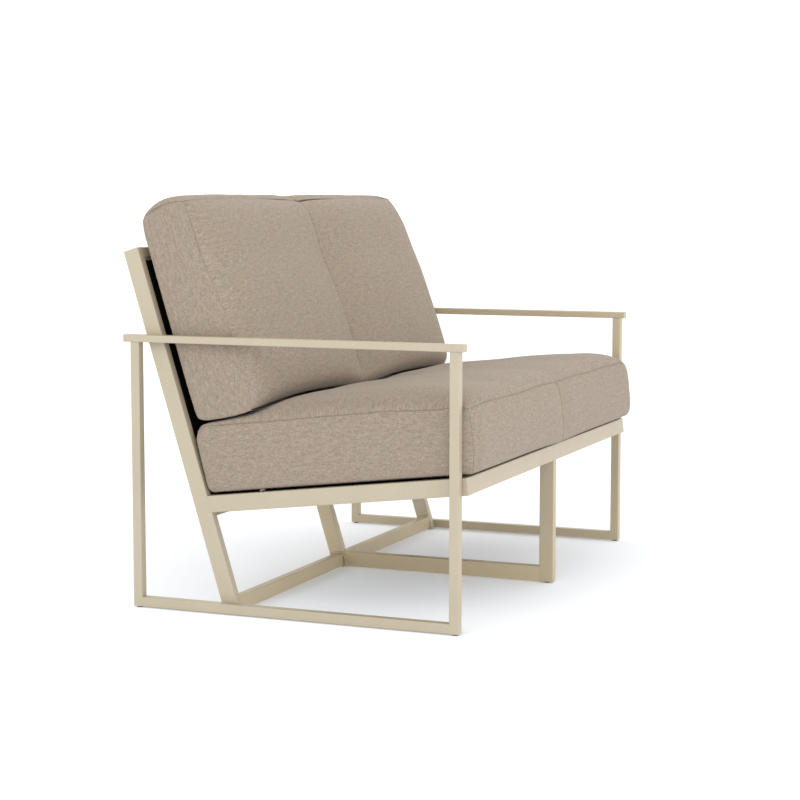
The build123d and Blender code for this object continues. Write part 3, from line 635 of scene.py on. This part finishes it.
class Tree:
    """Short names for the node tree calls."""

    def __init__(self, nt):
        self.nt = nt

    def add(self, kind, **values):
        n = self.nt.nodes.new(kind)
        for k, v in values.items():
            if hasattr(n, k) and k not in n.inputs:
                setattr(n, k, v)
            else:
                n.inputs[k].default_value = v
        return n

    def link(self, a, b):
        self.nt.links.new(a, b)
        return b

    def maths(self, op, a, b=None, clamp=False):
        n = self.nt.nodes.new("ShaderNodeMath")
        n.operation = op
        n.use_clamp = clamp
        for i, x in enumerate((a, b)):
            if x is None:
                continue
            if isinstance(x, (int, float)):
                n.inputs[i].default_value = x
            else:
                self.link(x, n.inputs[i])
        return n.outputs[0]

    def scaled(self, vec, scale):
        n = self.nt.nodes.new("ShaderNodeMapping")
        n.inputs["Scale"].default_value = scale
        self.link(vec, n.inputs["Vector"])
        return n.outputs[0]

    def noise(self, vec, scale, detail=2.0, rough=0.5):
        n = self.nt.nodes.new("ShaderNodeTexNoise")
        n.inputs["Scale"].default_value = scale
        n.inputs["Detail"].default_value = detail
        n.inputs["Roughness"].default_value = rough
        self.link(vec, n.inputs["Vector"])
        return n.outputs[0]

    def ramp(self, fac, stops):
        n = self.nt.nodes.new("ShaderNodeValToRGB")
        r = n.color_ramp
        while len(r.elements) < len(stops):
            r.elements.new(0.5)
        for e, (pos, col) in zip(r.elements, stops):
            e.position = pos
            e.color = (*col, 1.0) if len(col) == 3 else col
        self.link(fac, n.inputs[0])
        return n.outputs[0]

    def mix(self, fac, a, b, blend="MIX"):
        n = self.nt.nodes.new("ShaderNodeMix")
        n.data_type = "RGBA"
        n.blend_type = blend
        ins = [s for s in n.inputs if s.type == "RGBA"]
        f = n.inputs[0]
        if isinstance(fac, (int, float)):
            f.default_value = fac
        else:
            self.link(fac, f)
        for s, x in zip(ins, (a, b)):
            if isinstance(x, tuple):
                s.default_value = (*x, 1.0)
            else:
                self.link(x, s)
        return [o for o in n.outputs if o.type == "RGBA"][0]

    def bump(self, height, strength, distance, normal=None):
        n = self.nt.nodes.new("ShaderNodeBump")
        n.inputs["Strength"].default_value = strength
        n.inputs["Distance"].default_value = distance
        self.link(height, n.inputs["Height"])
        if normal is not None:
            self.link(normal, n.inputs["Normal"])
        return n.outputs[0]


def powder_coat(name, low, high):
    """Cream powder coat: a satin skin with a fine orange peel over a slightly uneven colour."""
    m, nt, b = new_material(name)
    t = Tree(nt)
    co = nt.nodes.new("ShaderNodeTexCoord").outputs["Object"]
    cloud = t.noise(co, 9.0, 3.0)
    fine = t.noise(co, 160.0, 2.0)
    base = t.ramp(cloud, [(0.3, low), (0.7, high)])
    speck = t.ramp(fine, [(0.25, (0.965, 0.965, 0.96)), (0.75, (1.0, 1.0, 1.0))])
    col = t.mix(1.0, base, speck, "MULTIPLY")
    t.link(col, b.inputs["Base Color"])
    t.link(t.ramp(t.noise(co, 38.0, 2.0), [(0.3, (0.42,) * 3), (0.7, (0.50,) * 3)]), b.inputs["Roughness"])
    peel = t.noise(co, 620.0, 2.0, 0.6)
    t.link(t.bump(peel, 0.22, 0.00025), b.inputs["Normal"])
    b.inputs["Specular IOR Level"].default_value = 0.85
    return m


def woven_cloth(name, dark, mid, light, streak=1.0):
    """Heathered plain weave: uneven yarns both ways, each with its own shade, over a fine thread pattern, darkened
    along the seams as painted shade.
    """
    m, nt, b = new_material(name)
    t = Tree(nt)
    uvn = nt.nodes.new("ShaderNodeUVMap")
    uvn.uv_map = "weave"
    uv = uvn.outputs[0]
    weft = t.noise(t.scaled(uv, (120.0, 600.0, 1.0)), 1.0, 2.0, 0.6)
    warp = t.noise(t.scaled(uv, (600.0, 150.0, 1.0)), 1.0, 2.0, 0.6)
    slub = t.maths("ADD", t.maths("MULTIPLY", t.noise(t.scaled(uv, (75.0, 560.0, 1.0)), 1.0, 1.0, 0.5), 0.56),
                   t.maths("MULTIPLY", t.noise(t.scaled(uv, (560.0, 90.0, 1.0)), 1.0, 1.0, 0.5), 0.44))
    cloud = t.noise(t.scaled(uv, (50.0, 145.0, 1.0)), 1.0, 3.0, 0.55)
    yarn = t.maths("ADD", t.maths("MULTIPLY", weft, 0.58), t.maths("MULTIPLY", warp, 0.42))
    mixed = t.maths("ADD", t.maths("MULTIPLY", yarn, 0.70), t.maths("MULTIPLY", slub, 0.27))
    mixed = t.maths("ADD", mixed, t.maths("MULTIPLY", cloud, 0.25))
    col = t.ramp(mixed, [(0.485, dark), (0.61, mid), (0.735, light)])
    # the threads themselves: over and under, 1.15 mm apart
    sx = nt.nodes.new("ShaderNodeSeparateXYZ")
    t.link(uv, sx.inputs[0])
    k = 2 * math.pi / 0.0023
    wx = t.maths("SINE", t.maths("MULTIPLY", sx.outputs[0], k))
    wy = t.maths("SINE", t.maths("MULTIPLY", sx.outputs[1], k))
    over = t.maths("MULTIPLY", wx, wy)
    thread = t.ramp(t.maths("MULTIPLY_ADD", over, 0.5), [(0.0, (0.90,) * 3), (1.0, (1.0,) * 3)])
    thread.node.inputs[0].links[0].from_node.inputs[2].default_value = 0.5
    col = t.mix(1.0, col, thread, "MULTIPLY")
    tone = t.ramp(t.noise(t.scaled(uv, (24.0, 30.0, 1.0)), 1.0, 2.0, 0.5), [(0.38, (1.018, 0.992, 0.991)), (0.62, (0.982, 1.004, 1.004))])
    col = t.mix(1.0, col, tone, "MULTIPLY")
    # painted shade: the colour is darkened along the seams' creases wherever the seam attribute is set
    sewn = nt.nodes.new("ShaderNodeAttribute")
    sewn.attribute_name = "sewn"
    col = t.mix(t.maths("MULTIPLY", sewn.outputs["Fac"], 0.6), col, tuple(c * 0.62 for c in dark))
    t.link(col, b.inputs["Base Color"])
    b.inputs["Roughness"].default_value = 0.93
    b.inputs["Specular IOR Level"].default_value = 0.22
    b.inputs["Sheen Weight"].default_value = 0.16
    b.inputs["Sheen Roughness"].default_value = 0.45
    h = t.maths("ADD", t.maths("MULTIPLY", over, 0.35), t.maths("MULTIPLY", mixed, 2.2 * streak))
    t.link(t.bump(h, 0.42, 0.0005), b.inputs["Normal"])
    return m


def sling_weave():
    """Black coated yarn in a close basket weave."""
    m, nt, b = new_material("sling_cloth")
    t = Tree(nt)
    uvn = nt.nodes.new("ShaderNodeUVMap")
    uvn.uv_map = "weave"
    uv = uvn.outputs[0]
    sx = nt.nodes.new("ShaderNodeSeparateXYZ")
    t.link(uv, sx.inputs[0])
    k = 2 * math.pi / 0.0030
    over = t.maths("MULTIPLY", t.maths("SINE", t.maths("MULTIPLY", sx.outputs[0], k)), t.maths("SINE", t.maths("MULTIPLY", sx.outputs[1], k)))
    grain = t.noise(t.scaled(uv, (900.0, 900.0, 1.0)), 1.0, 2.0)
    fac = t.maths("MULTIPLY_ADD", over, 0.35)
    fac.node.inputs[2].default_value = 0.5
    col = t.ramp(t.maths("ADD", fac, t.maths("MULTIPLY", grain, 0.15)), [(0.2, (0.0012, 0.0012, 0.0014)), (0.9, (0.0055, 0.0054, 0.0056))])
    t.link(col, b.inputs["Base Color"])
    t.link(t.ramp(grain, [(0.3, (0.62,) * 3), (0.7, (0.74,) * 3)]), b.inputs["Roughness"])
    b.inputs["Specular IOR Level"].default_value = 0.12
    t.link(t.bump(over, 0.6, 0.0004), b.inputs["Normal"])
    return m


def object_material(name, low, high, scale, rough, bump=(0.15, 0.0002), metallic=0.0, brushed=None, spec=0.4):
    """Plain material for small parts: colour between low and high, roughness range, fine surface grain."""
    m, nt, b = new_material(name)
    t = Tree(nt)
    co = nt.nodes.new("ShaderNodeTexCoord").outputs["Object"]
    vec = t.scaled(co, brushed) if brushed else co
    n = t.noise(vec, scale, 3.0)
    t.link(t.ramp(n, [(0.3, low), (0.7, high)]), b.inputs["Base Color"])
    t.link(t.ramp(n, [(0.3, (rough[0],) * 3), (0.7, (rough[1],) * 3)]), b.inputs["Roughness"])
    t.link(t.bump(n, *bump), b.inputs["Normal"])
    b.inputs["Metallic"].default_value = metallic
    b.inputs["Specular IOR Level"].default_value = spec
    return m


PAINT = powder_coat("frame_paint", (0.395, 0.341, 0.249), (0.415, 0.359, 0.265))
# The two copies below are not a different paint. They are the frame paint made warmer for the far side's members, and
# brighter and warmer for the members under the seat: painted bounce light in their shade.
PAINT_FAR_PAINTED_BOUNCE = powder_coat("frame_paint_far_painted_bounce", (0.415, 0.346, 0.234), (0.434, 0.364, 0.248))
PAINT_UNDER_PAINTED_BOUNCE = powder_coat("frame_paint_under_painted_bounce", (0.470, 0.388, 0.252), (0.492, 0.408, 0.268))
CLOTH = woven_cloth("cushion_cloth", (0.211, 0.171, 0.133), (0.290, 0.237, 0.189), (0.372, 0.308, 0.252))
SLING = sling_weave()
TRACK = object_material("track_metal", (0.30, 0.295, 0.28), (0.42, 0.41, 0.39), 60, (0.42, 0.55), metallic=0.7, brushed=(0.05, 1, 1))
STEEL = object_material("bolt_steel", (0.42, 0.42, 0.43), (0.60, 0.60, 0.61), 220, (0.25, 0.38), metallic=1.0)
BRASS = object_material("insert_metal", (0.62, 0.48, 0.24), (0.74, 0.58, 0.30), 260, (0.3, 0.45), metallic=1.0)
NICKEL = object_material("zip_slider", (0.40, 0.40, 0.40), (0.58, 0.58, 0.57), 420, (0.22, 0.36), metallic=1.0)
GLIDE = object_material("glide_plastic", (0.020, 0.020, 0.021), (0.034, 0.034, 0.035), 300, (0.5, 0.66))
ROD = object_material("rod_plastic", (0.55, 0.55, 0.52), (0.66, 0.66, 0.62), 240, (0.42, 0.55))
TAPE = object_material("zip_tape", (0.22, 0.18, 0.145), (0.33, 0.275, 0.225), 900, (0.8, 0.92), bump=(0.5, 0.0003), spec=0.2)
FOAM = object_material("foam", (0.62, 0.58, 0.44), (0.74, 0.70, 0.55), 380, (0.9, 0.98), bump=(0.7, 0.0006), spec=0.1)


def dress(ob, mat):
    ob.data.materials.clear() if "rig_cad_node" not in ob else None
    if "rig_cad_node" in ob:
        for s in ob.material_slots:
            s.material = mat
        if not ob.material_slots:
            ob.data.materials.append(mat)
    else:
        ob.data.materials.append(mat)


MADE_OF = {
    "back_sling_tracks": TRACK, "seat_sling_tracks": TRACK, "frame_bolts": STEEL, "frame_inserts": BRASS,
    "leg_glides": GLIDE, "middle_leg_glide": GLIDE, "post_foot_plugs": GLIDE, "sling_bead_rods": ROD,
    "seat_cushion_core": FOAM, "back_cushion_core": FOAM, "seat_zip_slider": NICKEL, "back_zip_slider": NICKEL,
    "seat_cushion_zip": TAPE, "back_cushion_zip": TAPE, "back_sling_left": SLING, "back_sling_right": SLING,
    "seat_sling_left": SLING, "seat_sling_right": SLING, "seat_cushion_cover": CLOTH, "back_cushion_cover": CLOTH,
}
# Members under the seat and on the far side take the copies of the frame paint that carry painted bounce light in their
# shade.
UNDER_SEAT_PAINTED_BOUNCE = ("middle_floor_rail", "middle_back_post", "left_floor_crossbar", "right_floor_crossbar")
FAR_SIDE_PAINTED_BOUNCE = ("middle_front_leg", "right_floor_rail", "right_front_leg", "right_rear_leg", "right_arm_bar")
for name, ob in NODES.items():
    dress(ob, MADE_OF.get(name, PAINT_UNDER_PAINTED_BOUNCE if name in UNDER_SEAT_PAINTED_BOUNCE else PAINT_FAR_PAINTED_BOUNCE if name in FAR_SIDE_PAINTED_BOUNCE else PAINT))

dress(seat_cushion, CLOTH)
dress(back_cushion, CLOTH)
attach(seat_cushion, "seat_cushion")
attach(back_cushion, "back_cushion")
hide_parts("seat_cushion_cover", "seat_cushion_core")
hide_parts("back_cushion_cover", "back_cushion_core")

# ------------------------------------------------------------------ welds
def shell_of(parts):
    """One mesh of several closed shells, each a (verts, faces) pair."""
    V, F, k = [], [], 0
    for v, f in parts:
        V.append(np.asarray(v, float))
        F += [tuple(i + k for i in q) for q in f]
        k += len(v)
    return np.concatenate(V), F


def block(c):
    """Closed block from its eight corners, the lower four first."""
    return c, [(0, 3, 2, 1), (4, 5, 6, 7), (0, 1, 5, 4), (1, 2, 6, 5), (2, 3, 7, 6), (3, 0, 4, 7)]


def flush(x0, x1, y0, y1, z0, z1):
    return block([(x0, y0, z0), (x1, y0, z0), (x1, y1, z0), (x0, y1, z0), (x0, y0, z1), (x1, y0, z1), (x1, y1, z1), (x0, y1, z1)])


def weld_run(a, b, r, seed, n=10):
    """Weld bead from a to b: small overlapping ripples, rounded off at its ends."""
    a, b = np.array(a, float), np.array(b, float)
    L = np.linalg.norm(b - a)
    d = (b - a) / L
    side = np.cross(d, [0.3, 0.5, 0.81])
    side /= np.linalg.norm(side)
    other = np.cross(d, side)
    m = max(8, int(L / 0.45))
    rng = np.random.default_rng(seed)
    phase = rng.uniform(0, 6)
    ang = np.arange(n) * 2 * math.pi / n
    V = []
    for i in range(m + 1):
        f = i / m
        end = min(1.0, math.sqrt(max(0.02, 1 - (max(0.0, abs(f - 0.5) * 2 - (1 - 2.4 * r / L)) / (2.4 * r / L)) ** 2)))
        rr = r * end * (1 + 0.10 * math.sin(f * L / 1.5 * 2 * math.pi + phase) + 0.05 * math.sin(f * L * 0.7 + phase))
        V += [a + d * L * f + side * rr * math.cos(t) + other * rr * math.sin(t) for t in ang]
    F = [(i * n + j, i * n + (j + 1) % n, (i + 1) * n + (j + 1) % n, (i + 1) * n + j) for i in range(m) for j in range(n)]
    F += [tuple(range(n))[::-1], tuple(m * n + j for j in range(n))]
    return V, F


def other_side(part):
    v, f = part
    return [(WIDTH - p[0], p[1], p[2]) for p in v], [q[::-1] for q in f]


def post_s(h):
    """Where the seat frame's height h meets the posts' front face: s along the post."""
    p = (493.57 * CL + 309.4 * SL + h * (CA * SL - SA * CL)) / (CA * CL + SA * SL)
    return back_of(seat_xyz(np.array([0.0, p, h])))[1]


ground, beads_of = [], []
for x0, x1 in ((-0.05, 1.8), (18.2, 20.05)):
    for y0, y1 in ((17.5, 20.6), (702.1, 705.2)):
        ground.append(flush(x0, x1, y0, y1, 5.0, 21.0))
for x0, x1 in ((19.95, 21.8), (38.2, 40.05)):
    s0, s1 = post_s(-32.7), post_s(-2.1)
    rows = [(x0, s0, 0.6), (x1, s0, 0.6), (x1, s0, -2.5), (x0, s0, -2.5), (x0, s1, 0.6), (x1, s1, 0.6), (x1, s1, -2.5), (x0, s1, -2.5)]
    ground.append(block([tuple(back_xyz(np.array(r))) for r in rows]))
ground_far = [other_side(g) for g in ground]
for x0, x1 in ((564.95, 566.8), (583.2, 585.05)):
    ground_far.append(flush(x0, x1, 18.0, 21.1, 5.0, 35.0))
for i, xa in enumerate((41.2, 563.8)):
    # across the post's side, square to the post, just above the crossbar
    beads_of.append(weld_run(back_xyz(np.array([xa, 37.0, 0.4])), back_xyz(np.array([xa, 40.5, -33.6])), 2.9, i))
beads_of.append(weld_run(back_xyz(np.array([564.5, 5.0, 0.6])), back_xyz(np.array([564.5, 37.0, 0.6])), 2.6, 5))
beads_of += [other_side(w) for w in beads_of]
# The right side's weld patches and the weld beads take the frame paint's copies with painted bounce light, the beads
# the brighter under-seat one.
for name, parts, soft, paint in (("welds_left", ground, False, PAINT), ("welds_right", ground_far, False, PAINT_FAR_PAINTED_BOUNCE),
                                 ("weld_beads", beads_of, True, PAINT_UNDER_PAINTED_BOUNCE)):
    V, F = shell_of(parts)
    ob = make_mesh(name, place(V), F, smooth=soft)
    dress(ob, paint)
    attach(ob, "frame")

# ------------------------------------------------------------------ slings
SHEET0, SHEET1 = -1.7, -0.5
BAYS = {"left": (41.0, 564.0), "right": (586.0, 1109.0)}
BACK_LO, BACK_UP = 246.1, 758.0
SEAT_FR, SEAT_RE = 23.5, 566.2


def sling(name, fn, xa, xb, ya, yb, sag, node):
    """Stretched sling: it gives a little in the middle of its bay, and its hems are doubled and sewn.
    fn takes (X, along, depth)."""
    W, L = xb - xa, yb - ya
    U = grid_lines(W, 13.0, near=[0, 1.0, 2.4, 5, 9])
    V = grid_lines(L, 13.0, [(24.0, [0, .5, 1.2, 2.0]), (L - 24.0, [0, .5, 1.2, 2.0])], near=[0, 1.0, 2.4, 5, 9])
    u, v = np.meshgrid(U, V, indexing="ij")
    give = sag * np.sin(math.pi * v) ** 0.9 * (0.55 + 0.45 * np.sin(math.pi * u))
    along = v * L
    hem = 1.0 / (1 + np.exp((np.minimum(along, L - along) - 24.0) / 0.35))
    face = SHEET1 - give - 0.15 * np.sin(math.pi * u * 40) * hem
    stitch = 0.35 * (np.exp(-((along - 20.5) / 0.8) ** 2) + np.exp(-((L - along - 20.5) / 0.8) ** 2))
    face = face - stitch
    under = np.where(True, face - 0.75 - 0.45 * hem, 0)
    nu, nv = len(U), len(V)
    A = np.arange(nu * nv).reshape(nu, nv)
    Bt = A + nu * nv
    X = xa + u * W
    top = fn(np.stack([X, ya + along, face], -1)).reshape(-1, 3)
    low = fn(np.stack([X, ya + along, under], -1)).reshape(-1, 3)
    verts = np.concatenate([top, low])
    faces = []
    uv_of = np.concatenate([np.stack([u * W, along], -1).reshape(-1, 2)] * 2) / 1000.0

    def grid_quads(G, rev):
        Q = np.stack([G[:-1, :-1], G[1:, :-1], G[1:, 1:], G[:-1, 1:]], -1).reshape(-1, 4)
        return Q[:, ::-1] if rev else Q
    faces += [grid_quads(A, False), grid_quads(Bt, True)]
    for line_a, line_b in ((A[:, 0], Bt[:, 0]), (Bt[:, -1], A[:, -1]), (Bt[0], A[0]), (A[-1], Bt[-1])):
        faces.append(np.stack([line_b[:-1], line_b[1:], line_a[1:], line_a[:-1]], -1))
    Q = np.concatenate(faces)
    ob = make_mesh(name, place(verts), Q, uv_of[Q.ravel()])
    dress(ob, SLING)
    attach(ob, "frame")
    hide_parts(node)
    for k, end in enumerate((ya, yb)):
        tube(name + ("_bead_a", "_bead_b")[k], fn, xa, xb, end, -3.4, 2.25)
    return ob


def tube(name, fn, xa, xb, at, depth, r, n=14):
    """Hem of the sling where it wraps its rod."""
    ang = np.arange(n) * 2 * math.pi / n
    xs = np.linspace(xa, xb, 45)
    rows = []
    for i, x in enumerate(xs):
        rr = r * (1 - 0.02 * math.sin(i * 1.7))
        rows.append(fn(np.stack([np.full(n, x), at + rr * np.cos(ang), depth + rr * np.sin(ang)], -1)))
    inner = 1.45
    first = [fn(np.stack([np.full(n, xs[e]), at + inner * np.cos(ang), depth + inner * np.sin(ang)], -1)) for e in (0, -1)]
    verts = np.concatenate(rows + first)
    faces, uvl = [], []
    m = len(xs)
    for i in range(m - 1):
        for j in range(n):
            k = (j + 1) % n
            faces.append((i * n + j, (i + 1) * n + j, (i + 1) * n + k, i * n + k))
    for e, base in ((0, m * n), (m - 1, (m + 1) * n)):
        for j in range(n):
            k = (j + 1) % n
            f = (e * n + j, e * n + k, base + k, base + j)
            faces.append(f if e == 0 else f[::-1])
    for j in range(n):      # the inside of the hem, against its rod
        k = (j + 1) % n
        faces.append((m * n + j, m * n + k, (m + 1) * n + k, (m + 1) * n + j))
    uv_of = np.zeros((len(verts), 2))
    uv_of[:m * n, 0] = np.repeat(xs, n) / 1000.0
    uv_of[:m * n, 1] = np.tile(np.arange(n), m) * r * 2 * math.pi / n / 1000.0
    uv_of[m * n:, 1] = 0.001
    uv_of[(m + 1) * n:, 0] = 0.5
    F = np.array(faces)
    ob = make_mesh(name, place(verts), F, uv_of[F.ravel()])
    dress(ob, SLING)
    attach(ob, "frame")
    return ob


for side, (xa, xb) in BAYS.items():
    sling("back_sling_cloth_" + side, back_xyz, xa, xb, BACK_LO, BACK_UP, 2.6, "back_sling_" + side)
    sling("seat_sling_cloth_" + side, seat_xyz, xa, xb, SEAT_FR, SEAT_RE, 3.4, "seat_sling_" + side)

# ------------------------------------------------------------------ camera, floor and light
cam = bpy.data.cameras.new("camera")
cam_ob = bpy.data.objects.new("camera", cam)
bpy.context.scene.collection.objects.link(cam_ob)
cam_ob.location = (-4.02786, -1.64741, 0.85086)
cam_ob.rotation_euler = (math.radians(83.995), 0.0, math.radians(-67.760))
cam.lens = 86.75
cam.sensor_width = 36.0
cam.clip_start, cam.clip_end = 0.05, 200.0
bpy.context.scene.camera = cam_ob

floor_mesh = bpy.data.meshes.new("floor")
R = 60.0
floor_mesh.from_pydata([(-R, -R, 0), (R, -R, 0), (R, R, 0), (-R, R, 0)], [], [(0, 1, 2, 3)])
floor = bpy.data.objects.new("floor", floor_mesh)
bpy.context.scene.collection.objects.link(floor)
fm, fnt, fb = new_material("floor")
fb.inputs["Base Color"].default_value = (0.83, 0.865, 0.94, 1)
fb.inputs["Emission Color"].default_value = (1, 1, 1, 1)
fb.inputs["Emission Strength"].default_value = 0.20
fb.inputs["Roughness"].default_value = 0.9
fb.inputs["Specular IOR Level"].default_value = 0.0
floor_mesh.materials.append(fm)

world = bpy.data.worlds.new("studio")
bpy.context.scene.world = world
world.use_nodes = True
sky = Tree(world.node_tree)
up = world.node_tree.nodes.new("ShaderNodeSeparateXYZ")
sky.link(world.node_tree.nodes.new("ShaderNodeTexCoord").outputs["Generated"], up.inputs[0])
glow = sky.ramp(up.outputs[2], [(0.0, (1.0, 0.948, 0.850)), (0.85, (0.60, 0.592, 0.566))])
sky.link(glow, world.node_tree.nodes["Background"].inputs[0])
world.node_tree.nodes["Background"].inputs[1].default_value = 1.69


def area(name, loc, target, size, power, color=(1, 1, 1)):
    L = bpy.data.lights.new(name, "AREA")
    L.shape = "RECTANGLE"
    L.size, L.size_y = size
    L.energy = power
    L.color = color
    ob = bpy.data.objects.new(name, L)
    ob.location = loc
    ob.rotation_euler = (Vector(target) - Vector(loc)).to_track_quat("-Z", "Y").to_euler()
    bpy.context.scene.collection.objects.link(ob)
    return ob


area("key", (-4.5, 0.3, 3.3), (0, 0.1, 0.3), (3.0, 2.4), 57, (0.88, 0.95, 1.0))
area("fill", (-1.5, -4.45, 1.0), (0, 0, 0.4), (3.0, 1.6), 42, (0.90, 0.955, 1.0))

bpy.context.scene.view_settings.view_transform = "Standard"
bpy.context.scene.view_settings.look = "None"
